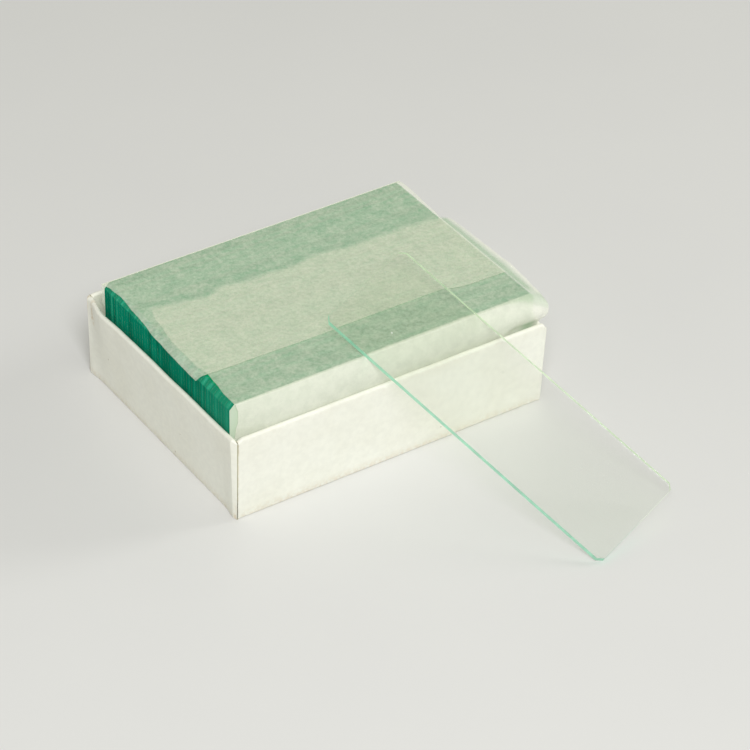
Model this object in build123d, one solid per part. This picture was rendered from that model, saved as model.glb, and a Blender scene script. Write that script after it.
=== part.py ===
from build123d import *
import math
import os

# Opened box of microscope slides: a folded card tray, a wrapped pack of glass slides
# standing on their long edges in it, and one slide leaning on the front of the pack.
# Millimetres, +Z up. X runs along the slides, Y across the stack (front is -Y).
# The origin is the centre of the tray's underside.

# Glass slides
slide_length = 76.0
slide_width = 26.0
slide_thickness = 1.05
slide_air = 0.01          # air film between neighbours in the stack
corner_clip = 1.2         # 45 degree clipped corners
pack_count = 48

# Tissue wrap
paper_thickness = 0.15
paper_clearance = 0.02    # between paper and glass, card or paper
front_flap_reach = 35.5   # from the front fold back over the stack
back_flap_reach = 40.0    # from the back fold forward over the stack
back_flap_skew = 0.9      # how far the back flap's free edge runs out of square
back_flap_left_jut = 1.7  # beyond the stack's left face at its free corner
back_flap_left_fold = 0.5
back_flap_right_inset = 0.6
wrap_left_inset = 1.5     # of the sheet's left edge from the stack's left face
wrap_right_jut = 2.2      # of the sheet's right edge beyond the stack's right face
tray_side_inset = 0.1     # of the sheet from the stack's right face, inside the tray
bulge_below_rim = 0.4     # the front panel turns down inside the tray this far below the rim

# Card tray
floor_thickness = 0.6
wall_height = 20.3
long_wall_thickness = 1.2
end_rim_thickness = 1.4   # folded card at an end wall's rim, which leans outward
end_foot_thickness = 0.4
outer_corner_radius = 1.5
end_clearance = 0.1       # slide ends to end walls
front_gap = 2.5           # stack to front wall
back_gap = 5.83           # stack to back wall

# Glued corner tabs, between the two plies of the long walls
tab_thickness = 0.3
tab_length = 12.0
tab_height = 16.0
tab_clearance = 0.02

# Leaning slide
lean_tilt = 26.4          # of its plane, from level
lean_turn = 19.7          # of its long axis, in its own plane
lean_centre_x = 15.7
lean_clearance = 0.05     # over the wrap's front fold

# Worked-out sizes
slide_pitch = slide_thickness + slide_air
pack_depth = pack_count * slide_pitch - slide_air
inner_length = slide_length + 2 * end_clearance
inner_width = front_gap + pack_depth + back_gap
outer_width = inner_width + 2 * long_wall_thickness
pack_front = -inner_width / 2 + front_gap
pack_back = pack_front + pack_depth
pack_foot = floor_thickness + 2 * paper_clearance + paper_thickness
pack_top = pack_foot + slide_width
pack_end = slide_length / 2
under_layer = pack_top + paper_clearance
upper_layer = under_layer + paper_thickness + paper_clearance
fold_front = pack_front - paper_clearance - paper_thickness
fold_back = pack_back + paper_clearance + paper_thickness
bulge_front = -inner_width / 2 + paper_clearance
wrap_floor = floor_thickness + paper_clearance
wrap_left = -pack_end + wrap_left_inset
wrap_right = pack_end + wrap_right_jut
wrap_right_in_tray = pack_end - tray_side_inset


def slide_blank():
    # one slide flat on XY, length along X, thickness upward from Z = 0
    half_l = slide_length / 2
    half_w = slide_width / 2
    outline = Polyline(
        (-half_l + corner_clip, -half_w),
        (half_l - corner_clip, -half_w),
        (half_l, -half_w + corner_clip),
        (half_l, half_w - corner_clip),
        (half_l - corner_clip, half_w),
        (-half_l + corner_clip, half_w),
        (-half_l, half_w - corner_clip),
        (-half_l, -half_w + corner_clip),
        close=True,
    )
    return extrude(make_face(outline), amount=slide_thickness)


def standing_slide(index):
    # slide number `index`, counted from the front, standing on its long edge
    front = pack_front + index * slide_pitch
    height = pack_foot + slide_width / 2
    return Pos(0, front + slide_thickness, height) * Rot(90, 0, 0) * slide_blank()


def leaning_slide():
    # rests on the wrap's front fold, with its lowest corner on the ground
    tilt = math.radians(lean_tilt)
    turn = math.radians(lean_turn)
    reach = slide_length / 2 * math.cos(turn) + (slide_width / 2 - corner_clip) * math.sin(turn)
    centre_z = reach * math.sin(tilt) + slide_thickness / 2 * math.cos(tilt)
    rise = under_layer + paper_thickness - centre_z
    standoff = slide_thickness / 2 + lean_clearance
    centre_y = fold_front - (standoff + rise * math.cos(tilt)) / math.sin(tilt)
    flat = Pos(0, 0, -slide_thickness / 2) * slide_blank()
    upright = Rot(0, 0, 90) * flat
    return Pos(lean_centre_x, centre_y, centre_z) * Rot(lean_tilt, 0, 0) * Rot(0, 0, lean_turn) * upright


def plate(x_span, y_span, z_span):
    # a box from its spans along X, Y and Z
    size = [high - low for low, high in (x_span, y_span, z_span)]
    centre = [(low + high) / 2 for low, high in (x_span, y_span, z_span)]
    return Pos(*centre) * Box(*size)


def paper_plate(corners, height):
    # a level layer of paper with the given outline, from `height` upward
    outline = Polyline(*corners, close=True)
    return Pos(0, 0, height) * extrude(make_face(outline), amount=paper_thickness)


def front_flap():
    # the under layer, from the front fold back over the stack
    back = fold_front + front_flap_reach
    corners = [(wrap_left, fold_front), (wrap_right, fold_front), (wrap_right, back), (wrap_left, back)]
    return paper_plate(corners, under_layer)


def back_flap():
    # the upper layer, from the back fold forward over the stack and the under layer
    free = fold_back - back_flap_reach
    right = pack_end - back_flap_right_inset
    corners = [
        (-pack_end - back_flap_left_fold, fold_back),
        (right, fold_back),
        (right, free - back_flap_skew),
        (-pack_end - back_flap_left_jut, free),
    ]
    return paper_plate(corners, upper_layer)


def front_panel():
    # slopes from the front fold out to the front wall, then hangs down inside the tray
    turn = wall_height - bulge_below_rim
    profile = Polyline(
        (fold_front + paper_thickness, under_layer),
        (bulge_front + paper_thickness, turn),
        (bulge_front + paper_thickness, wrap_floor),
        (bulge_front, wrap_floor),
        (bulge_front, turn),
        (fold_front, under_layer),
        close=True,
    )
    panel = extrude(Plane.YZ * make_face(profile), amount=wrap_right - wrap_left)
    inside_tray = plate(
        (wrap_right_in_tray, wrap_right + slide_length),
        (-outer_width / 2, pack_front),
        (0, wall_height + bulge_below_rim),
    )
    return Pos(wrap_left, 0, 0) * panel - inside_tray


def base_panel():
    # under the stack, between the front and back panels
    return plate(
        (wrap_left, wrap_right_in_tray),
        (bulge_front + paper_thickness, pack_back + paper_clearance),
        (wrap_floor, wrap_floor + paper_thickness),
    )


def back_panel():
    # up the back of the stack, from the tray floor to the back fold
    return plate(
        (wrap_left, wrap_right_in_tray),
        (pack_back + paper_clearance, fold_back),
        (wrap_floor, upper_layer),
    )


def tray_floor():
    return plate(
        (-inner_length / 2, inner_length / 2),
        (-inner_width / 2, inner_width / 2),
        (0, floor_thickness),
    )


def wall_section(inner, foot_thickness, crown_thickness):
    # a folded wall seen end on: foot, leaning or upright outer face, and rounded rim
    crown = wall_height - crown_thickness / 2
    edges = Polyline(
        (inner, crown),
        (inner, 0),
        (inner + foot_thickness, 0),
        (inner + crown_thickness, crown),
    )
    rim = ThreePointArc(
        (inner + crown_thickness, crown),
        (inner + crown_thickness / 2, wall_height),
        (inner, crown),
    )
    return make_face(edges + rim)


def right_end_wall():
    # thicker at the rim than at the foot, with rounded outer corners
    section = wall_section(inner_length / 2, end_foot_thickness, end_rim_thickness)
    wall = extrude(Plane.XZ * section, amount=outer_width / 2, both=True)
    outer_length = inner_length + 2 * end_rim_thickness
    footprint = RectangleRounded(outer_length, outer_width, outer_corner_radius)
    return wall & extrude(footprint, amount=wall_height)


def back_right_tab(clearance):
    # the space of the tab in the back wall's right end, grown by a clearance
    middle = (inner_width + long_wall_thickness) / 2
    half = tab_thickness / 2 + clearance
    return plate(
        (inner_length / 2 - tab_length - clearance, inner_length / 2),
        (middle - half, middle + half),
        (floor_thickness, floor_thickness + tab_height + clearance),
    )


def back_wall():
    # between the end walls, slotted at both ends for the corner tabs
    section = wall_section(inner_width / 2, long_wall_thickness, long_wall_thickness)
    wall = extrude(Plane.YZ * section, amount=inner_length / 2, both=True)
    slot = back_right_tab(tab_clearance)
    return wall - slot - mirror(slot, about=Plane.YZ)


def corner_tabs():
    # four tabs, one in each end of each long wall
    tab = back_right_tab(0)
    back_pair = [tab, mirror(tab, about=Plane.YZ)]
    front_pair = [mirror(item, about=Plane.XZ) for item in back_pair]
    return Compound(children=back_pair + front_pair)


os.makedirs("parts", exist_ok=True)

nodes = {
    "tray_floor": tray_floor(),
    "tray_front_wall": mirror(back_wall(), about=Plane.XZ),
    "tray_back_wall": back_wall(),
    "tray_left_end_wall": mirror(right_end_wall(), about=Plane.YZ),
    "tray_right_end_wall": right_end_wall(),
    "tray_corner_tabs": corner_tabs(),
    "wrap_base_panel": base_panel(),
    "wrap_front_panel": front_panel(),
    "wrap_back_panel": back_panel(),
    "wrap_front_flap": front_flap(),
    "wrap_back_flap": back_flap(),
    "leaning_slide": leaning_slide(),
}
for index in range(pack_count):
    nodes[f"slide_{index + 1:02d}"] = standing_slide(index)

for name, shape in nodes.items():
    export_step(shape, f"parts/{name}.step")
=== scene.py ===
import math

import bmesh
import bpy
from mathutils import Matrix, Vector, noise


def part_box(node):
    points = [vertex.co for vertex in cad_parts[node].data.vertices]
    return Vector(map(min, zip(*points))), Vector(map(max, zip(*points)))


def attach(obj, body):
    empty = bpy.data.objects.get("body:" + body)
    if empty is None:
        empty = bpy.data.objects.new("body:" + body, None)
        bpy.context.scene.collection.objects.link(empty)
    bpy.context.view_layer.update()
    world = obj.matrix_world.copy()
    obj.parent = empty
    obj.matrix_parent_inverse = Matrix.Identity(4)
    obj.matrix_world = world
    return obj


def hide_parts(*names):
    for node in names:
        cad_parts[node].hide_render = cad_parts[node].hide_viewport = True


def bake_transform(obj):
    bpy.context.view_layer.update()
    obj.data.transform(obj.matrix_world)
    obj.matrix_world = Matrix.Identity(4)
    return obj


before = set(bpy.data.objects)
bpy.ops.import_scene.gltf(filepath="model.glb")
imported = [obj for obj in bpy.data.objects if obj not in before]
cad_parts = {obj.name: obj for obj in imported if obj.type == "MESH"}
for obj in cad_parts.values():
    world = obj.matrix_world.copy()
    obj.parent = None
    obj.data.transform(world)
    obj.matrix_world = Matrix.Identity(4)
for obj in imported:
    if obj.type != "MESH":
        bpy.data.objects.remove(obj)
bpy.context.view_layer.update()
mm = 0.001  # everything below is in millimetres until a mesh is made


def nodeBox(name):
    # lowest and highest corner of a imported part, in millimetres
    low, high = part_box(name)
    return low / mm, high / mm


floorHigh = nodeBox("tray_floor")[1]
frontWallLow, frontWallHigh = nodeBox("tray_front_wall")
frontFlapLow, frontFlapHigh = nodeBox("wrap_front_flap")
backFlapLow, backFlapHigh = nodeBox("wrap_back_flap")
frontPanelLow = nodeBox("wrap_front_panel")[0]
backPanelLow, backPanelHigh = nodeBox("wrap_back_panel")
firstSlideLow, firstSlideHigh = nodeBox("slide_01")
innerX, innerY = floorHigh.x, floorHigh.y
outerY = -frontWallLow.y
rimHeight = frontWallHigh.z
print("frame loaded:", len(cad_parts), "parts")


def clamp(value, low=0.0, high=1.0):
    return min(max(value, low), high)


def ease(value, start, end):
    # 0 before start, 1 after end, smooth between
    share = clamp((value - start) / (end - start))
    return share * share * (3 - 2 * share)


def dent(x, y, z, size, seed=0.0):
    # gentle unevenness, about -1 to 1, that repeats every run
    return noise.noise(Vector((x / size + seed, y / size - seed, z / size + 2 * seed)))


def between(pairs, value):
    # reads a smooth curve through a few (place, amount) pairs
    pairs = sorted(pairs)
    if value <= pairs[0][0]:
        return pairs[0][1]
    for (startPlace, startAmount), (endPlace, endAmount) in zip(pairs, pairs[1:]):
        if value <= endPlace:
            return startAmount + (endAmount - startAmount) * ease(value, startPlace, endPlace)
    return pairs[-1][1]


def newPiece(name, points, faces, material, marks, sharpAngle=40):
    # marks are named numbers, one for each point, that the materials read
    mesh = bpy.data.meshes.new(name)
    mesh.from_pydata([tuple(value * mm for value in point) for point in points], [], faces)
    for markName, values in marks.items():
        if isinstance(values[0], float):
            mesh.attributes.new(markName, "FLOAT", "POINT").data.foreach_set("value", values)
        else:
            flat = [number for value in values for number in value]
            mesh.attributes.new(markName, "FLOAT_VECTOR", "POINT").data.foreach_set("vector", flat)
    shell = bmesh.new()
    shell.from_mesh(mesh)
    bmesh.ops.recalc_face_normals(shell, faces=shell.faces)
    shell.to_mesh(mesh)
    shell.free()
    for face in mesh.polygons:
        face.use_smooth = True
    mesh.set_sharp_from_angle(angle=math.radians(sharpAngle))
    mesh.materials.append(material)
    piece = bpy.data.objects.new(name, mesh)
    bpy.context.scene.collection.objects.link(piece)
    return piece


class NodeBench:
    # makes a material's nodes with short calls
    def __init__(self, name):
        self.material = bpy.data.materials.new(name)
        self.material.use_nodes = True
        self.tree = self.material.node_tree
        self.tree.nodes.clear()

    def add(self, kind, settings=None, **inputs):
        node = self.tree.nodes.new(kind)
        for key, value in (settings or {}).items():
            setattr(node, key, value)
        for key, value in inputs.items():
            self.feed(node.inputs[key.replace("_", " ")], value)
        return node

    def feed(self, socket, value):
        if isinstance(value, bpy.types.NodeSocket):
            self.tree.links.new(value, socket)
        else:
            socket.default_value = value

    def math(self, operation, first, second=0.0, limit=False):
        node = self.add("ShaderNodeMath", {"operation": operation, "use_clamp": limit})
        self.feed(node.inputs[0], first)
        self.feed(node.inputs[1], second)
        return node.outputs[0]

    def spread(self, value, low, high, newLow=0.0, newHigh=1.0):
        # maps low..high to newLow..newHigh, smoothly
        node = self.add("ShaderNodeMapRange", {"interpolation_type": "SMOOTHSTEP"})
        for socket, amount in zip(node.inputs, (value, low, high, newLow, newHigh)):
            self.feed(socket, amount)
        return node.outputs[0]

    def blendColours(self, share, first, second, kind="MIX"):
        node = self.add("ShaderNodeMix", {"data_type": "RGBA", "blend_type": kind})
        self.feed(node.inputs[0], share)
        self.feed(node.inputs[6], first)
        self.feed(node.inputs[7], second)
        return node.outputs[2]

    def grain(self, place, size, detail=3.0, roughness=0.55, stretch=None):
        # cloudy noise whose features are about `size` millimetres
        if stretch:
            mapping = self.add("ShaderNodeMapping", Vector=place)
            mapping.inputs["Scale"].default_value = stretch
            place = mapping.outputs[0]
        node = self.add("ShaderNodeTexNoise", Vector=place, Scale=1 / (size * mm))
        node.inputs["Detail"].default_value = detail
        node.inputs["Roughness"].default_value = roughness
        return node.outputs[0]

    def specks(self, place, every, inner, outer, strength):
        # sparse round specks, one to each cell of `every` millimetres, fading from inner to outer
        dots = self.add("ShaderNodeTexVoronoi", Vector=place, Scale=1 / (every * mm))
        return self.spread(dots.outputs["Distance"], inner, outer, strength, 0.0)

    def layer(self, share, under, over):
        # one shader over another
        node = self.add("ShaderNodeMixShader")
        self.feed(node.inputs[0], share)
        self.tree.links.new(under, node.inputs[1])
        self.tree.links.new(over, node.inputs[2])
        return node.outputs[0]

    def shaded(self, colour, shade):
        # a colour made darker or lighter by a number
        grey = self.add("ShaderNodeCombineColor", Red=shade, Green=shade, Blue=shade).outputs[0]
        return self.blendColours(1.0, colour, grey, "MULTIPLY")

    def mark(self, name, output="Fac"):
        return self.add("ShaderNodeAttribute", {"attribute_name": name}).outputs[output]

    def bump(self, height, distance, strength=1.0, under=None):
        node = self.add("ShaderNodeBump", Height=height, Distance=distance * mm, Strength=strength)
        if under is not None:
            self.feed(node.inputs["Normal"], under)
        return node.outputs[0]

    def show(self, shader):
        output = self.add("ShaderNodeOutputMaterial")
        self.tree.links.new(shader, output.inputs["Surface"])
        return self.material


cardLook = {
    "face": (0.855, 0.860, 0.780, 1),
    "faceShade": (0.820, 0.820, 0.730, 1),
    "cutEdge": (0.38, 0.36, 0.20, 1),  # the bare board
    "scuff": (0.62, 0.47, 0.28, 1),
    "speck": (0.30, 0.24, 0.15, 1),
    "cloudSize": 12,
    "mottleSize": 1.3,
    "scuffSize": 0.8,
    "speckEvery": 7.5,
    "dimpleSize": 0.45,
    "dimpleDepth": 0.010,
    "waveSize": 6.0,
    "waveDepth": 0.09,
    "roughness": 0.45,
}


def makeCard():
    bench = NodeBench("coatedCard")
    place = bench.add("ShaderNodeTexCoord").outputs["Object"]
    clouds = bench.grain(place, cardLook["cloudSize"], 3.0)
    mottle = bench.grain(place, cardLook["mottleSize"], 4.0)
    colour = bench.blendColours(bench.spread(clouds, 0.3, 0.75), cardLook["face"], cardLook["faceShade"])
    colour = bench.shaded(colour, bench.spread(mottle, 0.3, 0.7, 0.97, 1.02))
    # sparse specks in the board
    speck = bench.specks(place, cardLook["speckEvery"], 0.020, 0.034, 0.6)
    colour = bench.blendColours(speck, colour, cardLook["speck"])
    # rubbed corners and rims, and the bare board on cut edges
    patchy = bench.spread(bench.grain(place, cardLook["scuffSize"], 5.0, 0.7), 0.38, 0.60)
    worn = bench.math("MULTIPLY", bench.mark("rubbed"), patchy)
    colour = bench.blendColours(worn, colour, cardLook["scuff"])
    colour = bench.blendColours(bench.mark("cutEdge"), colour, cardLook["cutEdge"])
    dimple = bench.bump(bench.grain(place, cardLook["dimpleSize"], 2.0), cardLook["dimpleDepth"], 0.5)
    dimple = bench.bump(bench.grain(place, cardLook["waveSize"], 2.0), cardLook["waveDepth"], 0.5, dimple)
    gloss = bench.spread(mottle, 0.3, 0.7, cardLook["roughness"] - 0.06, cardLook["roughness"] + 0.08)
    shader = bench.add(
        "ShaderNodeBsdfPrincipled", Base_Color=colour, Roughness=gloss, Normal=dimple, IOR=1.42
    )
    return bench.show(shader.outputs[0])


card = makeCard()


# the tray's walls are each one card folded over its own rim
wallShape = {
    "gauge": 0.3,  # card thickness
    "footRound": 0.35,  # the fold to the underside
    "footSteps": 3,
    "climbs": 10,  # steps up each face
    "rimSteps": 12,
    "floorTop": 0.05,
    "dents": 0.07,
    "dentSize": 12,
    "waver": 0.09,  # of the rim's height
    "waverSize": 7,
    "cornerReach": 1.2,  # of the bend into the next wall, where the foot is a single card
    "rimWear": 0.06,
    "footWear": 0.30,
}


def cardSection(footWidth, crownWidth, height):
    # pairs of (outer, inner) points of the card, from the underside over the rim to the tray floor
    rimRadius = crownWidth / 2
    springing = height - rimRadius  # where the rim's round starts
    footRound = min(wallShape["footRound"], 0.7 * footWidth)
    footSteps, climbs, rimSteps = wallShape["footSteps"], wallShape["climbs"], wallShape["rimSteps"]

    def widthAt(z):
        return footWidth + (crownWidth - footWidth) * clamp(z / springing)

    def plyAt(z):
        # the two plies never meet
        return min(wallShape["gauge"], 0.42 * widthAt(z))

    pairs = []
    hollow = footRound - min(plyAt(0), 0.9 * footRound)
    reach = footWidth - footRound
    for step in range(footSteps + 1):
        turn = math.pi / 2 * step / footSteps
        outer = (reach + footRound * math.sin(turn), footRound - footRound * math.cos(turn))
        inner = (reach + hollow * math.sin(turn), footRound - hollow * math.cos(turn))
        pairs.append((outer, inner))
    for step in range(1, climbs):
        z = footRound + (springing - footRound) * step / climbs
        pairs.append(((widthAt(z), z), (widthAt(z) - plyAt(z), z)))
    hollow = rimRadius - plyAt(springing)
    for step in range(rimSteps + 1):
        turn = math.pi * step / rimSteps
        across, up = math.cos(turn), math.sin(turn)
        outer = (rimRadius + rimRadius * across, springing + rimRadius * up)
        inner = (rimRadius + hollow * across, springing + hollow * up)
        pairs.append((outer, inner))
    for step in range(1, climbs + 1):
        z = springing + (wallShape["floorTop"] - springing) * step / climbs
        pairs.append(((0.0, z), (plyAt(z), z)))
    return pairs


def sweptCard(name, stations, wear, cutShade):
    # stations are lists of (outer, inner) points in space, wear has one function of height for each,
    # and cutShade is how bare the card's two cut ends are
    points, faces, rubbed, cutEdge = [], [], [], []
    count = len(stations[0])
    rimStart = wallShape["footSteps"] + wallShape["climbs"]
    rimEnd = rimStart + wallShape["rimSteps"]
    for index, station in enumerate(stations):
        loop = [pair[0] for pair in station] + [pair[1] for pair in reversed(station)]
        points += loop
        atEnds = {0: cutShade[0], len(stations) - 1: cutShade[1]}
        cutEdge += [atEnds.get(index, 0.0)] * len(loop)
        for spot, point in enumerate(loop):
            row = spot if spot < count else 2 * count - 1 - spot
            edgeWear = 0.0
            if rimStart <= row <= rimEnd:
                edgeWear = wallShape["rimWear"]
            elif row <= wallShape["footSteps"]:
                edgeWear = wallShape["footWear"]
            rubbed.append(clamp(edgeWear + wear[index](point[2])))
    around = 2 * count
    for index in range(len(stations) - 1):
        for spot in range(around):
            here, there = index * around, (index + 1) * around
            following = (spot + 1) % around
            faces.append((here + spot, here + following, there + following, there + spot))
    for base in (0, (len(stations) - 1) * around):
        for spot in range(count - 1):
            facing = base + around - 1 - spot
            faces.append((base + spot, base + spot + 1, facing - 1, facing))
    piece = newPiece(name, points, faces, card, {"rubbed": rubbed, "cutEdge": cutEdge})
    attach(piece, "tray")
    return piece


def wallPlaces(start, end, step=1.5):
    # places along a wall, closer together towards its ends
    near = [0, 0.05, 0.35, 0.7, 1.0, 1.1, 1.19, 1.21, 1.35, 1.7, 2.3, 3.1, 4.1]
    rest = end - start - 2 * near[-1]
    count = round(rest / step)
    middle = [start + near[-1] + rest * i / count for i in range(1, count)]
    return [start + gap for gap in near] + middle + [end - gap for gap in reversed(near)]


def foldedWall(name, node, shape):
    # shape: "place" turns (along, out, z) into a point, "start" and "end" are its two ends,
    # "turnAtStart" and "turnAtEnd" are how much of it goes round the corner there, if it does,
    # and the rim drops by the first number of "dropStart" and "dropEnd" over the second's length
    stations, wear = [], []
    for along in wallPlaces(shape["start"], shape["end"]):
        toStart, toEnd = along - shape["start"], shape["end"] - along
        fromEnd = min(toStart, toEnd)
        nearStart = toStart < toEnd
        turn = shape["turnAtStart"] if nearStart else shape["turnAtEnd"]
        turned = clamp(1 - fromEnd / turn) ** 1.1 if turn else 0.0
        crownOut = shape["crownOut"](along) - shape["crownTurn"] * turned
        footOut = shape["footOut"](along) - shape["footTurn"] * turned
        crownIn = shape["crownIn"](along)
        footIn = 0.0
        if turn and fromEnd < wallShape["cornerReach"]:
            footIn = footOut - 0.7 * wallShape["gauge"]
        drop, reach = shape["dropStart"] if nearStart else shape["dropEnd"]
        top = rimHeight - drop * (1 - ease(fromEnd, 0, reach)) ** 1.4
        waver = dent(along, 0, shape["seed"], wallShape["waverSize"], 3.1)
        top += wallShape["waver"] * waver * ease(fromEnd, 0, 3)
        station = []
        for pair in cardSection(footOut - footIn, crownOut - crownIn, top):
            spots = []
            for out, z in pair:
                climb = clamp(z / rimHeight)
                sway = wallShape["dents"] * dent(along, z, shape["seed"], wallShape["dentSize"], 4.3)
                sway = abs(sway) * climb * ease(fromEnd, 0.5, 5)
                spots.append(shape["place"](along, out + footIn + (crownIn - footIn) * climb + sway, z))
            station.append(tuple(spots))
        stations.append(station)
        edgeWear = shape["wear"](along)
        cut = 0.0 if turn else 0.4 * (1 - ease(fromEnd, 0.05, 0.4))
        wear.append(lambda z, cut=cut, edgeWear=edgeWear: cut + edgeWear(z))
    piece = sweptCard(name, stations, wear, shape["cutShade"])
    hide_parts(node)


longThick = outerY - innerY

leftWallShape = {
    # how far its rim stands out from its foot's inner face, front to back;
    # behind the stack nothing holds it out and it has been pressed in
    "rimOut": [
        (-29.7, 1.36), (-20, 1.40), (-3, 1.55), (8, 1.62), (15, 1.75),
        (22, 2.10), (24, 2.0), (26.3, 1.42), (28.7, 0.98), (30.8, 1.10),
    ],
    "rimBand": 1.15,
    "foot": 0.40,
    "footFront": 0.52,  # more foot at the front corner
    "footBack": 0.42,
    "footReach": 4.2,
    "pressedAt": 27.4,  # the two cracks in the coating
    "cornerAt": 30.0,
}


def leftRim(along):
    return between(leftWallShape["rimOut"], along)


def leftFoot(along):
    start = innerY - leftWallShape["footReach"]
    front = leftWallShape["footFront"] * ease(-along, start, innerY)
    return leftWallShape["foot"] + front + leftWallShape["footBack"] * ease(along, start, innerY)


def plain(along):
    return lambda z: 0.0


def crackWear(along):
    # the coating has cracked where the back corner was pressed in
    pressed = math.exp(-((along - leftWallShape["pressedAt"]) / 0.55) ** 2)
    corner = math.exp(-((along - leftWallShape["cornerAt"]) / 0.45) ** 2)
    atFoot = 0.5 * ease(abs(along), innerY, outerY)

    def wearAt(z):
        belowRim = ease(z, 14.6, 16.0) * (1 - 0.7 * ease(z, 17.4, 18.8))
        return 1.25 * pressed * belowRim + 0.9 * corner * ease(z, 15.0, 17.5) + atFoot * ease(z, 6, 1)

    return wearAt


foldedWall("trayLeftEndWall", "tray_left_end_wall", {
    "place": lambda along, out, z: (-innerX - out, along, z),
    "start": -outerY, "end": outerY, "turnAtStart": 1.1, "turnAtEnd": 1.1,
    "crownOut": leftRim,
    "crownIn": lambda along: leftRim(along) - leftWallShape["rimBand"],
    "footOut": leftFoot, "crownTurn": 1.05, "footTurn": 0.40,
    "dropStart": (0.75, 1.3), "dropEnd": (0.35, 1.2), "seed": 1.0,
    "wear": crackWear, "cutShade": (1.0, 0.3),
})

# a long wall's ends at its foot, and how far they lean inward as they rise
frontWallEnds = {"left": 38.66, "leftLean": 0.5, "right": 38.9, "rightLean": -0.9, "waver": 0.07}
backWallEnds = {"left": 38.55, "leftLean": 0.6, "right": 38.55, "rightLean": 0.4, "waver": 0.0}


def betweenEnds(ends, along, z):
    climb = z / rimHeight
    left = -ends["left"] + ends["leftLean"] * climb + ends["waver"] * dent(0, 0, z, 3.5, 6.6)
    right = ends["right"] - ends["rightLean"] * climb
    share = (along + innerX) / (2 * innerX)
    return left + (right - left) * share


foldedWall("trayFrontWall", "tray_front_wall", {
    "place": lambda along, out, z: (betweenEnds(frontWallEnds, along, z), -innerY - out, z),
    "start": -innerX, "end": innerX, "turnAtStart": 0.0, "turnAtEnd": 0.6,
    "crownOut": lambda along: longThick, "crownIn": lambda along: 0.0, "footOut": lambda along: longThick,
    "crownTurn": 0.75, "footTurn": 0.75,
    "dropStart": (0.50, 1.5), "dropEnd": (1.8, 1.9), "seed": 5.0, "wear": plain, "cutShade": (0.6, 0.1),
})

foldedWall("trayBackWall", "tray_back_wall", {
    "place": lambda along, out, z: (betweenEnds(backWallEnds, along, z), innerY + out, z),
    "start": -innerX, "end": innerX, "turnAtStart": 0.0, "turnAtEnd": 0.0,
    "crownOut": lambda along: longThick, "crownIn": lambda along: 0.0, "footOut": lambda along: longThick,
    "crownTurn": 0.0, "footTurn": 0.0,
    "dropStart": (0.15, 1.0), "dropEnd": (0.5, 1.5), "seed": 9.0, "wear": plain, "cutShade": (0.5, 0.5),
})

# its rim's width and how far its middle bows out, its foot, and how much more foot its corners have
rightWallShape = {"rim": 1.36, "bow": 0.2, "foot": 0.40, "footAtCorner": 0.25, "footReach": 4}


def rightBow(along):
    return rightWallShape["bow"] * ease(abs(along), 29, 8)


def rightFoot(along):
    corner = ease(abs(along), innerY - rightWallShape["footReach"], innerY)
    return rightWallShape["foot"] + rightWallShape["footAtCorner"] * corner


foldedWall("trayRightEndWall", "tray_right_end_wall", {
    "place": lambda along, out, z: (innerX + out, along, z),
    "start": -innerY + 0.04, "end": outerY, "turnAtStart": 0.0, "turnAtEnd": 1.1,
    "crownOut": lambda along: rightWallShape["rim"] + rightBow(along), "crownIn": rightBow,
    "footOut": rightFoot, "crownTurn": 1.05, "footTurn": 0.30,
    "dropStart": (2.2, 4.5), "dropEnd": (0.75, 1.3), "seed": 13.0, "wear": plain, "cutShade": (0.2, 0.6),
})
print("tray walls folded")


tissueLook = {
    "fibre": (0.915, 0.930, 0.775, 1),
    "fibreShade": (0.865, 0.900, 0.720, 1),
    "fibreInAir": (0.895, 0.900, 0.800, 1),
    "paintedGreenShade": (0.375, 0.56, 0.35, 1),  # painted green shade, where it overhangs the green ends of the glass
    "opacity": 0.445,  # lying on the glass
    "opacityInAir": 0.72,  # standing off it, where it scatters more
    "glow": 0.05,  # share of the light that comes through from behind
    "glowInAir": 0.14,
    "tear": 1.6,  # width over which the torn edge thins out
    "patchSize": 3.4,
    "mottleSize": 0.95,
    "speckleSize": 0.34,
    "strandSize": 0.5,
    "roughness": 0.75,
}


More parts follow.
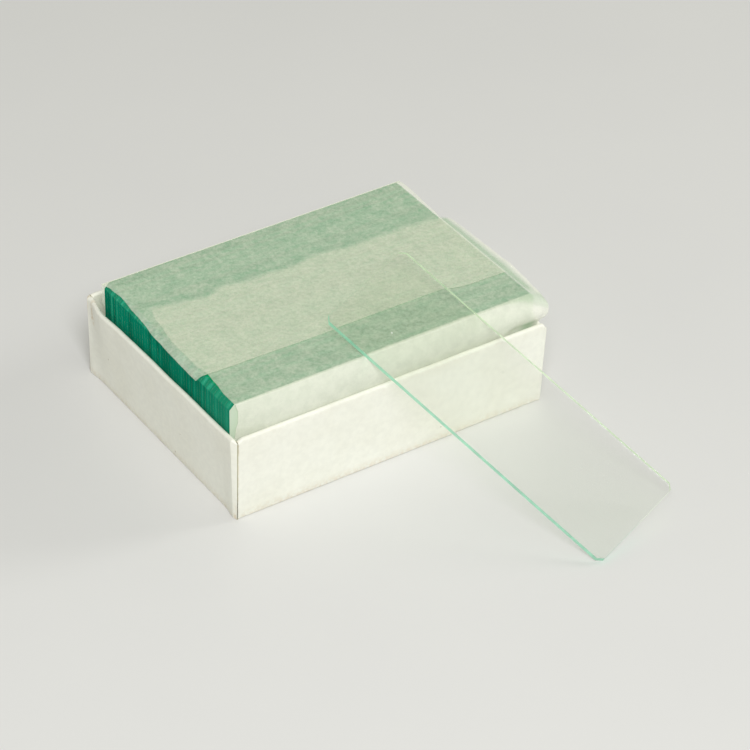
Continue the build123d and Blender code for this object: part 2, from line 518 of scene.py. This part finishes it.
def makeTissue():
    bench = NodeBench("tissuePaper")
    place = bench.mark("fibrePlace", "Vector")
    patches = bench.grain(place, tissueLook["patchSize"], 3.0, 0.6)
    mottle = bench.grain(place, tissueLook["mottleSize"], 3.0, 0.62)
    speckle = bench.grain(place, tissueLook["speckleSize"], 2.0, 0.6)
    strand = bench.grain(place, tissueLook["strandSize"], 3.0, 0.6, (0.5, 1.3, 1.0))
    mixed = bench.math("ADD", bench.math("MULTIPLY", mottle, 0.65), bench.math("MULTIPLY", speckle, 0.35))
    fibres = bench.spread(mixed, 0.34, 0.66)
    colour = bench.blendColours(fibres, tissueLook["fibreShade"], tissueLook["fibre"])
    inAir = bench.mark("inAir")
    colour = bench.blendColours(inAir, colour, tissueLook["fibreInAir"])
    # painted green shade, where the glass's green ends light the paper
    colour = bench.blendColours(bench.mark("paintedGreenShade"), colour, tissueLook["paintedGreenShade"])
    body = bench.spread(inAir, 0.0, 1.0, tissueLook["opacity"], tissueLook["opacityInAir"])
    # unevenly pressed paper, which shows less where it stands off the glass
    thin = bench.spread(mixed, 0.33, 0.67, -0.075, 0.075)
    thin = bench.math("MULTIPLY", thin, bench.spread(inAir, 0, 1, 1, 0.25))
    thin = bench.math("ADD", thin, bench.spread(patches, 0.3, 0.7, -0.055, 0.055))
    opacity = bench.math("ADD", body, thin, True)
    fromTear = bench.math("ABSOLUTE", bench.add("ShaderNodeSeparateXYZ", Vector=place).outputs["Y"])
    opacity = bench.math("MULTIPLY", opacity, bench.spread(fromTear, 0, tissueLook["tear"] * mm, 0.15, 1.0))
    # the far face of the thin sheet isn't counted twice
    facing = bench.math("SUBTRACT", 1.0, bench.add("ShaderNodeNewGeometry").outputs["Backfacing"])
    opacity = bench.math("MULTIPLY", opacity, facing)
    fuzz = bench.bump(strand, 0.005, 0.25)
    fuzz = bench.bump(patches, 0.03, 0.25, fuzz)
    paper = bench.add("ShaderNodeBsdfPrincipled", Base_Color=colour, Normal=fuzz, IOR=1.3)
    paper.inputs["Roughness"].default_value = tissueLook["roughness"]
    glow = bench.add("ShaderNodeBsdfTranslucent", Color=colour, Normal=fuzz)
    glowShare = bench.spread(inAir, 0.0, 1.0, tissueLook["glow"], tissueLook["glowInAir"])
    lit = bench.layer(glowShare, paper.outputs[0], glow.outputs[0])
    clear = bench.add("ShaderNodeBsdfTransparent")
    return bench.show(bench.layer(opacity, clear.outputs[0], lit))


tissue = makeTissue()


def castAt(x):
    # how much painted green shade the overhanging edge gets, for the light off the glass, which is
    # strongest at the end of the stack
    end = firstSlideHigh.x
    return 0.9 * ease(x, end - 1.5, end - 0.9) * (1 - ease(x, end - 0.2, end + 1.8))


def thinSheet(name, rows, gauge, lengths, inAir, cast):
    # a closed thin sheet about rows of middle points; lengths are each row's place along the flat sheet
    rowCount, columnCount = len(rows), len(rows[0])
    top, bottom, fibrePlace, airMark = [], [], [], []
    for r in range(rowCount):
        for c in range(columnCount):
            along = rows[min(r + 1, rowCount - 1)][c] - rows[max(r - 1, 0)][c]
            across = rows[r][min(c + 1, columnCount - 1)] - rows[r][max(c - 1, 0)]
            normal = across.cross(along).normalized()
            middle = rows[r][c]
            top.append(middle + normal * gauge / 2)
            bottom.append(middle - normal * gauge / 2)
            fibrePlace.append((middle.x * mm, lengths[r] * mm, 0.0))
            airMark.append(float(inAir[r][c]))
    faces = []
    half = rowCount * columnCount  # points on one side of the sheet
    for r in range(rowCount - 1):
        for c in range(columnCount - 1):
            here = r * columnCount + c
            there = here + columnCount
            faces.append((here, here + 1, there + 1, there))
            faces.append((half + there, half + there + 1, half + here + 1, half + here))
    rim = list(range(columnCount))
    rim += [r * columnCount + columnCount - 1 for r in range(1, rowCount)]
    rim += [(rowCount - 1) * columnCount + c for c in range(columnCount - 2, -1, -1)]
    rim += [r * columnCount for r in range(rowCount - 2, 0, -1)]
    for here, there in zip(rim, rim[1:] + rim[:1]):
        faces.append((here, half + here, half + there, there))
    castMark = [float(value) for row in cast for value in row] * 2
    marks = {"fibrePlace": fibrePlace * 2, "inAir": airMark * 2, "paintedGreenShade": castMark}
    return newPiece(name, top + bottom, faces, tissue, marks, 50)


wrapShape = {
    "gauge": 0.09,
    "columns": 118,
    # steps over the stack, over the front crease, down to the rim, down inside the tray,
    # round each bottom fold, under the stack and up its back
    "topRows": 52,
    "creaseRows": 8,
    "panelRows": 26,
    "tuckRows": 12,
    "bendRows": 4,
    "baseRows": 14,
    "backRows": 24,
    "bend": 0.5,  # radius of the bottom folds
    # places of its left edge, front to back, and of its torn free edge, left to right
    "leftEdge": [
        (-28.2, -36.6), (-27.1, -36.9), (-23.4, -36.9), (-18.6, -36.4), (-15.8, -36.15),
        (-11.4, -36.65), (-3.2, -36.6), (6, -35.5), (11, -34.3),
    ],
    "freeEdge": [
        (-36.4, 11.2), (-28, 9.6), (-23.2, 8.7), (-18.8, 10.2), (-12, 9.0), (-8, 9.4),
        (-3, 8.8), (6, 9.6), (14, 8.5), (29, 8.2), (40, 7.2),
    ],
    "leftOnTop": -36.4,
    "rightEdge": 40.05,
    # the front panel's left edge by height, which flares a little as it goes down
    "panelLeft": [(17.5, -37.3), (20.4, -36.9), (22.2, -36.4), (24.8, -36.3), (26.9, -36.75)],
    # the front crease, left to right: its place and its height
    "creaseY": [
        (-36.5, -27.55), (-30, -27.75), (28, -27.9), (32, -28.2),
        (36, -28.6), (38, -29.2), (40, -29.8),
    ],
    "creaseZ": [(30, 26.9), (34, 26.5), (36, 25.7), (38, 24.8), (40, 24.0)],
    # where it goes in behind the front wall's rim
    "tuckY": [
        (-36.5, -27.65), (-33, -28.5), (-28, -29.3), (-20, -29.45),
        (30, -29.45), (34.5, -28.75), (38, -28.9),
    ],
    "bulge": [(-36, 0.10), (-20, 0.35), (10, 0.75), (28, 1.3), (36, 1.15), (40, 0.35)],
    # how far its right edge hangs, front to back, and where the droop begins
    "droop": [(-30, 2.3), (-25, 1.3), (-20, 0.65), (-15.5, 0.25), (-12, 0.5), (0, 0.9), (8.2, 1.35)],
    "droopStart": 36.4,
}
edgeRow = wrapShape["topRows"] + 1  # the first row past the glass
creaseRow = edgeRow + wrapShape["creaseRows"]
rimRow = creaseRow + wrapShape["panelRows"]


def wrapProfile(x):
    # (y, z, inAir) points of the sheet at one place across it, from the front flap's free edge
    # forward over the stack, down inside the tray, back under the stack and up its back
    top = (frontFlapLow.z + frontFlapHigh.z) / 2 - 0.01
    freeEdge = between(wrapShape["freeEdge"], x) + 0.15 * dent(x, 0, 0, 1.1, 7.7)
    creaseY, creaseZ = between(wrapShape["creaseY"], x), between(wrapShape["creaseZ"], x)
    tuck = between(wrapShape["tuckY"], x)
    rim = rimHeight - 0.2
    bulge = between(wrapShape["bulge"], x)
    bottom = floorHigh.z + 0.09
    backFace = (backPanelLow.y + backPanelHigh.y) / 2
    backTop = backPanelHigh.z - 0.05
    overGlass = firstSlideLow.y + 0.1
    profile = []
    for step in range(wrapShape["topRows"] + 1):
        y = freeEdge + (overGlass - freeEdge) * step / wrapShape["topRows"]
        profile.append((y, top, 0.0))
    # over the edge of the glass to the crease, sharp at the left and loose at the right
    soft = 0.25 + 0.5 * ease(x, 28, 38)
    for step in range(1, wrapShape["creaseRows"] + 1):
        share = step / wrapShape["creaseRows"]
        y = overGlass + (creaseY - overGlass) * math.sin(share * math.pi / 2) ** (0.9 + 0.1 * soft)
        z = top + (creaseZ - soft * 0.5 - top) * (1 - math.cos(share * math.pi / 2)) ** 0.9
        profile.append((y, z, share))
    startY, startZ = profile[-1][0], profile[-1][1]
    for step in range(1, wrapShape["panelRows"] + 1):
        share = step / wrapShape["panelRows"]
        y = startY + (tuck - startY) * share - bulge * math.sin(math.pi * share ** 0.9) ** 1.2
        profile.append((y, startZ + (rim - startZ) * share, 1.0))
    bend, bendTop = wrapShape["bend"], bottom + wrapShape["bend"]
    turns = [math.pi / 2 * step / wrapShape["bendRows"] for step in range(1, wrapShape["bendRows"] + 1)]
    for step in range(1, wrapShape["tuckRows"] + 1):
        profile.append((tuck, rim + (bendTop - rim) * step / wrapShape["tuckRows"], 1.0))
    for turn in turns:
        profile.append((tuck + bend - bend * math.cos(turn), bendTop - bend * math.sin(turn), 1.0))
    for step in range(1, wrapShape["baseRows"] + 1):
        share = step / wrapShape["baseRows"]
        profile.append((tuck + bend + (backFace - tuck - 2 * bend) * share, bottom, 0.0))
    for turn in turns:
        profile.append((backFace - bend + bend * math.sin(turn), bendTop - bend * math.cos(turn), 0.0))
    for step in range(1, wrapShape["backRows"] + 1):
        share = step / wrapShape["backRows"]
        profile.append((backFace, bendTop + (backTop - bendTop) * share, 0.4))
    return profile


def makeWrapSheet():
    columns = wrapShape["columns"]
    leftOnTop, rightOnTop = wrapShape["leftOnTop"], wrapShape["rightEdge"]
    profiles = [wrapProfile(leftOnTop + (rightOnTop - leftOnTop) * c / columns) for c in range(columns + 1)]
    rowCount = len(profiles[0])
    tuckEnd = rimRow + wrapShape["tuckRows"]
    backStart = rowCount - wrapShape["backRows"] - 2
    inTrayLeft, inTrayRight = frontPanelLow.x, innerX - 0.25
    # the sheet's right edge, from inside the tray up to where it stands out over the rim
    earEdge = [
        (rimHeight - 0.5, inTrayRight), (rimHeight + 0.3, 38.4), (rimHeight + 1, 39.55),
        (rimHeight + 1.8, 39.95), (rimHeight + 3, rightOnTop),
    ]
    rows, inAir, cast = [], [], []
    for r in range(rowCount):
        row, airRow, castRow = [], [], []
        for c in range(columns + 1):
            across = c / columns
            y, z, air = profiles[c][r]
            left = inTrayLeft
            if r <= edgeRow:
                left = between(wrapShape["leftEdge"], y)
            elif r <= tuckEnd:
                left = between(wrapShape["panelLeft"], z)
            elif r >= backStart:
                # the back panel reaches past the stack's left end, above the rim
                left = -38.6 + 0.8 * ease(z, 22.5, 20.0)
            right = rightOnTop
            if r > rimRow + 5:
                right = inTrayRight
            elif r > creaseRow:
                right = between(earEdge, z)
            x = left + (right - left) * across
            x += 0.08 * dent(y, z, 3, 2.5, 8.8) * (1 - ease(across, 0.0, 0.02)) * (r < rimRow)
            past = max(0.0, x - wrapShape["droopStart"])
            share = clamp(past / (rightOnTop - wrapShape["droopStart"]))
            if r <= edgeRow:
                droop = between(wrapShape["droop"], y) * share ** 1.6
                crumple = 0.18 * dent(x, y, 0, 3.2, 5.5) * ease(x, 37, 39.4)
                z += crumple - droop
                air = max(air, ease(x, 38.2, 39.8))
            elif r <= rimRow - 2:
                # the front panel is crumpled between its crease and the rim
                down = clamp((r - edgeRow) / (rimRow - edgeRow))
                fade = math.sin(math.pi * down) ** 0.7
                frontDroop = between(wrapShape["droop"], firstSlideLow.y)
                z -= frontDroop * share ** 1.6 * (1 - ease(down, 0.0, 0.24))
                y += 0.10 * dent(x, z * 1.4, 0, 6.0, 6.1) * fade * ease(x, -34, -20)
                y += 0.12 * dent(x, z, 0, 2.4, 1.3) * fade * ease(x, 33, 38)
            elif rimRow + 6 <= r < rimRow + 18:
                y += 0.10 * (1 + dent(x, z, 1, 7, 3.3))
            row.append(Vector((x, y, z)))
            # painted green shade, for the light off the glass: on the overhang, along the loose crease and
            # at the rim's right end
            castHere = castAt(x) * (1 - ease(-y, 24, 29.5)) * (1 - ease(r, edgeRow, creaseRow + 6))
            onCrease = ease(r, edgeRow - 3, edgeRow) * (1 - ease(r, edgeRow + 1, creaseRow + 3))
            nearGlass = math.exp(-((x - 35.3) / 1.7) ** 2) * ease(z, rimHeight + 1.4, rimHeight + 0.3)
            nearGlass = nearGlass * (creaseRow < r < rimRow + 4)
            castHere = max(castHere, 0.6 * ease(x, 27, 37) * onCrease, 0.7 * nearGlass)
            airRow.append(max(air, castHere))
            castRow.append(castHere)
        rows.append(row)
        inAir.append(airRow)
        cast.append(castRow)
    middle = columns // 2
    lengths = [0.0]
    for r in range(1, rowCount):
        lengths.append(lengths[-1] + (rows[r][middle] - rows[r - 1][middle]).length)
    piece = thinSheet("wrapSheet", rows, wrapShape["gauge"], lengths, inAir, cast)
    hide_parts("wrap_front_flap", "wrap_front_panel", "wrap_base_panel", "wrap_back_panel")
    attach(piece, "bundle")


flapShape = {
    "gauge": 0.09,
    "columns": 116,
    "rows": 76,
    "foldRows": 6,  # more rows round the back fold
    "foldRound": 0.20,
    # its two sides, front to back, and its free edge, left to right
    "leftEdge": [
        (-16.3, -39.45), (-9, -39.3), (0.1, -39.0), (9.8, -38.2),
        (17.1, -37.55), (21, -37.9), (24.0, -38.65),
    ],
    "rightEdge": [(-17.9, 36.8), (6.5, 36.9), (9.5, 37.4), (20, 37.9), (22.6, 37.9), (24.1, 37.5)],
    "freeEdge": [
        (-39.5, -16.4), (-36.4, -15.95), (-28, -16.1), (-9, -16.5),
        (21, -16.6), (29, -18.0), (36.9, -18.2),
    ],
    "flatWidth": 77.0,
    "bendReach": 1.4,  # how far from the fold the paper still bends
}


def makeBackFlap():
    foldY = backPanelHigh.y + 0.05
    # it lies on the glass at the back, and on the front flap further on
    lower = firstSlideHigh.z + 0.03 + flapShape["gauge"] / 2
    upper = (backFlapLow.z + backFlapHigh.z) / 2 + 0.02
    radius = flapShape["foldRound"]
    rows, inAir, lengths = [], [], []
    columns, foldRows, total = flapShape["columns"], flapShape["foldRows"], flapShape["rows"]
    for r in range(foldRows + 1 + total):
        row, airRow = [], []
        for c in range(columns + 1):
            across = c / columns
            guessX = -38.5 + 76 * across
            free = between(flapShape["freeEdge"], guessX)
            if r <= foldRows:
                turn = math.pi / 2 * r / foldRows
                y = foldY - radius + radius * math.cos(turn)
                z = lower - radius + radius * math.sin(turn)
                air = 0.35 * (1 - r / foldRows)
            else:
                y = foldY - radius + (free - foldY + radius) * (r - foldRows) / total
                underEdge = between(wrapShape["freeEdge"], guessX)
                onFrontFlap = ease(y, underEdge + 1.4, underEdge - 0.3)
                z = lower + (upper - lower) * onFrontFlap
                air = 0.0
            left = between(flapShape["leftEdge"], y)
            right = between(flapShape["rightEdge"], y)
            x = left + (right - left) * across
            x += 0.06 * dent(y, 0, 7, 2.2, 4.1) * (1 - ease(across, 0, 0.02))
            if r > foldRows:
                z += 0.05 * (1 + dent(x, y, 0, 8, 9.4)) * ease(foldY - y, 0.5, 4)
                z += 0.16 * ease(-x, 0, 25) * ease(y, 12, 22)
                # past the stack's left end it droops, and its left and free edges lift a little
                overhang = max(0.0, -firstSlideHigh.x - x)
                z -= 0.22 * overhang ** 1.5 * ease(y, 24, 14)
                z += 0.07 * ease(-x, 33.5, 36.2) * ease(-y, -6, 8)
                z += 0.10 * ease(-y, 13.5, 17) * (0.5 + 0.5 * dent(x, 0, 0, 7, 2.7))
                air = max(air, 0.12 * ease(overhang, 0.0, 0.4))
            row.append(Vector((x, y, z)))
            airRow.append(air)
        rows.append(row)
        inAir.append(airRow)
    # the paper's pattern runs on from the back panel
    middle = columns // 2
    start = backPanelHigh.z - floorHigh.z
    lengths.append(start)
    for r in range(1, len(rows)):
        lengths.append(lengths[-1] + (rows[r][middle] - rows[r - 1][middle]).length)
    noCast = [[0.0] * len(row) for row in rows]
    lengthsBack = [-value for value in lengths]
    piece = thinSheet("wrapBackFlap", rows, flapShape["gauge"], lengthsBack, inAir, noCast)
    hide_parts("wrap_back_flap")
    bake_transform(piece)


makeWrapSheet()
makeBackFlap()
print("tissue wrapped")


packGlassLook = {
    "end": (0.002, 0.190, 0.112, 1),  # the stack's ends, where light has come the length of the glass
    "endDeep": (0.001, 0.125, 0.070, 1),
    # painted light on the ends, towards the front, on the outermost slides and on the clipped corners
    "endLit": (0.030, 0.330, 0.200, 1),
    "clipped": (0.012, 0.195, 0.108, 1),
    "edge": (0.006, 0.255, 0.114, 1),
    "edgeDeep": (0.002, 0.200, 0.085, 1),
    "face": (0.48, 0.57, 0.45, 1),
    "glow": 0.22,  # painted glow: the glass emits light for what reaches the ends from inside the stack
    "indexOfRefraction": 1.01,
    "pitch": firstSlideHigh.y - firstSlideLow.y + 0.01,
    "streakSize": 1.3,
    "cloudSize": 7.0,
    "outermost": (17, 24),  # from the stack's middle, where slides stand a little apart
}


def makePackGlass():
    bench = NodeBench("packGlass")
    place = bench.add("ShaderNodeTexCoord").outputs["Object"]
    normal = bench.add("ShaderNodeTexCoord").outputs["Normal"]
    split = bench.add("ShaderNodeSeparateXYZ", Vector=normal)
    facingX = bench.math("ABSOLUTE", split.outputs["X"])
    facingY = bench.math("ABSOLUTE", split.outputs["Y"])
    where = bench.add("ShaderNodeSeparateXYZ", Vector=place)
    # each slide has its own depth of colour
    slideNumber = bench.math("FLOOR", bench.math("DIVIDE", where.outputs["Y"], packGlassLook["pitch"] * mm))
    each = bench.add("ShaderNodeTexWhiteNoise", {"noise_dimensions": "1D"}, W=slideNumber).outputs["Value"]
    streak = bench.grain(place, packGlassLook["streakSize"], 3.0, 0.6, (1.0, 3.0, 0.12))
    cloudy = bench.grain(place, packGlassLook["cloudSize"], 2.0)
    depth = bench.math("ADD", bench.math("MULTIPLY", each, 0.45), bench.math("MULTIPLY", cloudy, 0.7))
    ends = bench.blendColours(bench.spread(depth, 0.3, 0.8), packGlassLook["endDeep"], packGlassLook["end"])
    # painted light: the ends lighter towards the front
    litTowardsFront = bench.spread(where.outputs["Y"], -26 * mm, -10 * mm, 0.32, 0.0)
    ends = bench.blendColours(litTowardsFront, ends, packGlassLook["endLit"])
    # painted light: the outermost slides catch some light between them
    stackMiddle = (firstSlideLow.y + backPanelLow.y) / 2 * mm
    aside = bench.math("ABSOLUTE", bench.math("SUBTRACT", where.outputs["Y"], stackMiddle))
    apartStart, apartEnd = packGlassLook["outermost"]
    outermost = bench.spread(aside, apartStart * mm, apartEnd * mm)
    outermost = bench.math("MULTIPLY", outermost, bench.spread(each, 0.4, 1.0))
    outermost = bench.math("MULTIPLY", outermost, bench.spread(streak, 0.35, 0.6, 0.25, 0.8))
    ends = bench.blendColours(outermost, ends, packGlassLook["endLit"])
    # the clipped corners, with painted light streaks, and the long edges
    catch = bench.math("MULTIPLY", bench.spread(each, 0.2, 1.0), bench.spread(streak, 0.4, 0.6, 0.3, 0.9))
    corner = bench.blendColours(catch, packGlassLook["clipped"], packGlassLook["endLit"])
    colour = bench.blendColours(bench.spread(facingX, 0.80, 0.97), corner, ends)
    onEdge = bench.spread(facingX, 0.1, 0.5, 1.0, 0.0)
    longEdge = bench.math("ADD", bench.math("MULTIPLY", each, 0.6), bench.math("MULTIPLY", cloudy, 0.5))
    longEdge = bench.blendColours(
        bench.spread(longEdge, 0.2, 0.8), packGlassLook["edgeDeep"], packGlassLook["edge"]
    )
    colour = bench.blendColours(onEdge, colour, longEdge)
    colour = bench.blendColours(bench.spread(facingY, 0.75, 0.98), colour, packGlassLook["face"])
    smear = bench.spread(streak, 0.3, 0.7, 0.10, 0.24)
    glass = bench.add("ShaderNodeBsdfPrincipled", Base_Color=colour, Roughness=smear)
    glass.inputs["IOR"].default_value = packGlassLook["indexOfRefraction"]
    # painted glow: the glass emits a share of its own colour
    bench.feed(glass.inputs["Emission Color"], colour)
    glass.inputs["Emission Strength"].default_value = packGlassLook["glow"]
    return bench.show(glass.outputs[0])


looseGlassLook = {
    "body": (0.985, 0.99, 0.98, 1),
    "leftEdge": (0.25, 0.57, 0.40, 1),  # the edges carry light from the length of the glass
    # painted light: the right edges lighter, as lit from the right
    "rightEdge": (0.57, 0.70, 0.49, 1),
    # painted glow of the edges
    "edgeGlow": 0.28,
    "edgeShare": 0.85,  # of a long edge's own colour, the rest shows what is behind it
    "endShare": 0.80,  # and of its two ends' own colour
    "insideShare": 0.20,  # and of theirs through the broad faces
    "dust": (0.80, 0.84, 0.80, 1),
    "dustEvery": 6.5,
    "hazeSize": 9.0,
    "shadeSize": 2.4,
    "throughLight": (0.96, 0.975, 0.95, 1),
}


def makeLooseGlass(slide):
    # the broad faces are clear and the narrow edges carry the glass's green
    bench = NodeBench("looseGlass")
    faces = slide.data.polygons
    broad = max(faces, key=lambda face: face.area).normal.copy()
    narrow = [face for face in faces if abs(face.normal.dot(broad)) < 0.5]
    leftward = max(narrow, key=lambda face: face.area).normal.copy()
    if leftward.x > 0:
        leftward.negate()
    texture = bench.add("ShaderNodeTexCoord")
    place = texture.outputs["Object"]

    def along(arrow, direction):
        dot = bench.add("ShaderNodeVectorMath", {"operation": "DOT_PRODUCT"})
        bench.feed(dot.inputs[0], arrow)
        dot.inputs[1].default_value = direction
        return dot.outputs["Value"]

    onFace = bench.spread(bench.math("ABSOLUTE", along(texture.outputs["Normal"], broad)), 0.30, 0.60)
    onLongEdge = bench.math("ABSOLUTE", along(texture.outputs["Normal"], leftward))
    middle = sum((point.co for point in slide.data.vertices), Vector()) / len(slide.data.vertices)
    side = bench.math("SUBTRACT", along(place, leftward), middle.dot(leftward))
    haze = bench.grain(place, looseGlassLook["hazeSize"], 3.0)
    glass = bench.add("ShaderNodeBsdfPrincipled", IOR=1.5)
    glass.inputs["Base Color"].default_value = looseGlassLook["body"]
    glass.inputs["Transmission Weight"].default_value = 1.0
    bench.feed(glass.inputs["Roughness"], bench.spread(haze, 0.45, 0.75, 0.0, 0.05))
    # the edges' green, with the right edges painted lighter than the left, as lit from the right
    edgeColourAndLight = bench.blendColours(
        bench.spread(side, -2 * mm, 2 * mm), looseGlassLook["rightEdge"], looseGlassLook["leftEdge"]
    )
    vary = bench.grain(place, looseGlassLook["shadeSize"], 4.0)
    edgeColourAndLight = bench.shaded(edgeColourAndLight, bench.spread(vary, 0.3, 0.7, 0.86, 1.08))
    edge = bench.add("ShaderNodeBsdfPrincipled", Base_Color=edgeColourAndLight, IOR=1.5)
    edge.inputs["Roughness"].default_value = 0.2
    # painted glow: the edges emit their own colour
    bench.feed(edge.inputs["Emission Color"], edgeColourAndLight)
    edge.inputs["Emission Strength"].default_value = looseGlassLook["edgeGlow"]
    seeThrough = bench.add("ShaderNodeBsdfTransparent")
    seeThrough.inputs["Color"].default_value = looseGlassLook["throughLight"]
    fromInside = bench.add("ShaderNodeNewGeometry").outputs["Backfacing"]
    shortShare = bench.spread(fromInside, 0, 1, looseGlassLook["endShare"], looseGlassLook["insideShare"])
    edgeShare = bench.spread(onLongEdge, 0.3, 0.6, shortShare, looseGlassLook["edgeShare"])
    narrowSides = bench.layer(edgeShare, seeThrough.outputs[0], edge.outputs[0])
    allSides = bench.layer(onFace, narrowSides, glass.outputs[0])
    # a few dust specks
    speck = bench.specks(place, looseGlassLook["dustEvery"], 0.018, 0.032, 0.8)
    dust = bench.add("ShaderNodeBsdfDiffuse")
    dust.inputs["Color"].default_value = looseGlassLook["dust"]
    dusty = bench.layer(speck, allSides, dust.outputs[0])
    # lamps shine through, so that the slide throws a light shadow
    path = bench.add("ShaderNodeLightPath")
    letThrough = bench.add("ShaderNodeBsdfTransparent")
    letThrough.inputs["Color"].default_value = looseGlassLook["throughLight"]
    soft = bench.math("MAXIMUM", path.outputs["Is Shadow Ray"], path.outputs["Is Diffuse Ray"])
    return bench.show(bench.layer(bench.math("MULTIPLY", soft, onFace), dusty, letThrough.outputs[0]))


easedEdges = {"pack": 0.05, "loose": 0.2}  # the small polish on cut glass edges


def easeEdges(piece, width):
    bevel = piece.modifiers.new("easedEdges", "BEVEL")
    bevel.width = width * mm
    bevel.segments = 2
    bevel.limit_method = "ANGLE"
    bevel.angle_limit = math.radians(30)


def dress(node, material):
    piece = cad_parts[node]
    piece.data.materials.clear()
    piece.data.materials.append(material)
    return piece


packGlass = makePackGlass()
looseGlass = makeLooseGlass(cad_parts["leaning_slide"])
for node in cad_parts:
    if node.startswith("slide_"):
        easeEdges(dress(node, packGlass), easedEdges["pack"])
easeEdges(dress("leaning_slide", looseGlass), easedEdges["loose"])
for node in ("tray_floor", "tray_corner_tabs"):
    dress(node, card)
print("glass and card dressed")


# the studio's sizes and places are in metres
studio = {
    "floorColour": (0.72, 0.72, 0.71, 1),
    "floorShade": (0.69, 0.69, 0.685, 1),
    "floorRoughness": 0.35,
    "floorSize": 3.0,
    "skyColour": (1.0, 0.995, 0.89, 1),
    "skyStrength": 0.43,
    "keyLamp": {"place": (-0.40, -0.74, 0.87), "size": 0.5, "energy": 10.2, "colour": (0.985, 0.985, 1.0)},
    "sideLamp": {"place": (1.0, -0.25, 0.40), "size": 0.4, "energy": 3.6, "colour": (1.0, 1.0, 0.97)},
    "lampTarget": (0, 0, 0.01),
}


def makeFloor():
    half = studio["floorSize"] / 2
    mesh = bpy.data.meshes.new("studioFloor")
    corners = [(-half, -half, 0), (half, -half, 0), (half, half, 0), (-half, half, 0)]
    mesh.from_pydata(corners, [], [(0, 1, 2, 3)])
    floor = bpy.data.objects.new("studioFloor", mesh)
    bpy.context.scene.collection.objects.link(floor)
    bench = NodeBench("paleFloor")
    place = bench.add("ShaderNodeTexCoord").outputs["Object"]
    colour = bench.blendColours(bench.grain(place, 60, 3.0), studio["floorColour"], studio["floorShade"])
    shader = bench.add("ShaderNodeBsdfPrincipled", Base_Color=colour)
    shader.inputs["Roughness"].default_value = studio["floorRoughness"]
    mesh.materials.append(bench.show(shader.outputs[0]))


def softLamp(name):
    lamp = bpy.data.lights.new(name, "AREA")
    lamp.shape = "DISK"
    lamp.size = studio[name]["size"]
    lamp.energy = studio[name]["energy"]
    lamp.color = studio[name]["colour"]
    thing = bpy.data.objects.new(name, lamp)
    thing.location = studio[name]["place"]
    thing.rotation_mode = "QUATERNION"
    thing.rotation_quaternion = (Vector(studio["lampTarget"]) - thing.location).to_track_quat("-Z", "Y")
    bpy.context.scene.collection.objects.link(thing)


def makeSky():
    world = bpy.data.worlds.new("softSky")
    bpy.context.scene.world = world
    world.use_nodes = True
    sky = world.node_tree.nodes["Background"]
    sky.inputs["Color"].default_value = studio["skyColour"]
    sky.inputs["Strength"].default_value = studio["skyStrength"]


cameraView = {
    "azimuth": -34.438,  # degrees round from the front, towards the left end
    "elevation": 36.485,
    "roll": 1.375,
    "distance": 0.6759,
    "target": (0.00562, -0.01522, 0.010),
    "lens": 151.65,
    "sensorWidth": 36,
}


def makeCamera():
    azimuth, elevation = math.radians(cameraView["azimuth"]), math.radians(cameraView["elevation"])
    flat = math.cos(elevation)
    back = Vector((math.sin(azimuth) * flat, -math.cos(azimuth) * flat, math.sin(elevation)))
    level = Vector((math.cos(azimuth), math.sin(azimuth), 0))
    rise = back.cross(level)
    roll = math.radians(cameraView["roll"])
    right = level * math.cos(roll) + rise * math.sin(roll)
    up = rise * math.cos(roll) - level * math.sin(roll)
    data = bpy.data.cameras.new("camera")
    data.lens = cameraView["lens"]
    data.sensor_width = cameraView["sensorWidth"]
    data.clip_start = 0.01
    camera = bpy.data.objects.new("camera", data)
    place = Vector(cameraView["target"]) + back * cameraView["distance"]
    turn = Matrix((right, up, back)).transposed().to_4x4()
    camera.matrix_world = Matrix.Translation(place) @ turn
    bpy.context.scene.collection.objects.link(camera)
    bpy.context.scene.camera = camera


makeFloor()
makeSky()
softLamp("keyLamp")
softLamp("sideLamp")
makeCamera()
bpy.context.scene.view_settings.view_transform = "Standard"
bpy.context.scene.view_settings.look = "None"
bpy.context.scene.cycles.use_denoising = True
bpy.context.scene.cycles.transparent_max_bounces = 24
bpy.context.scene.cycles.transmission_bounces = 12
print("studio set")
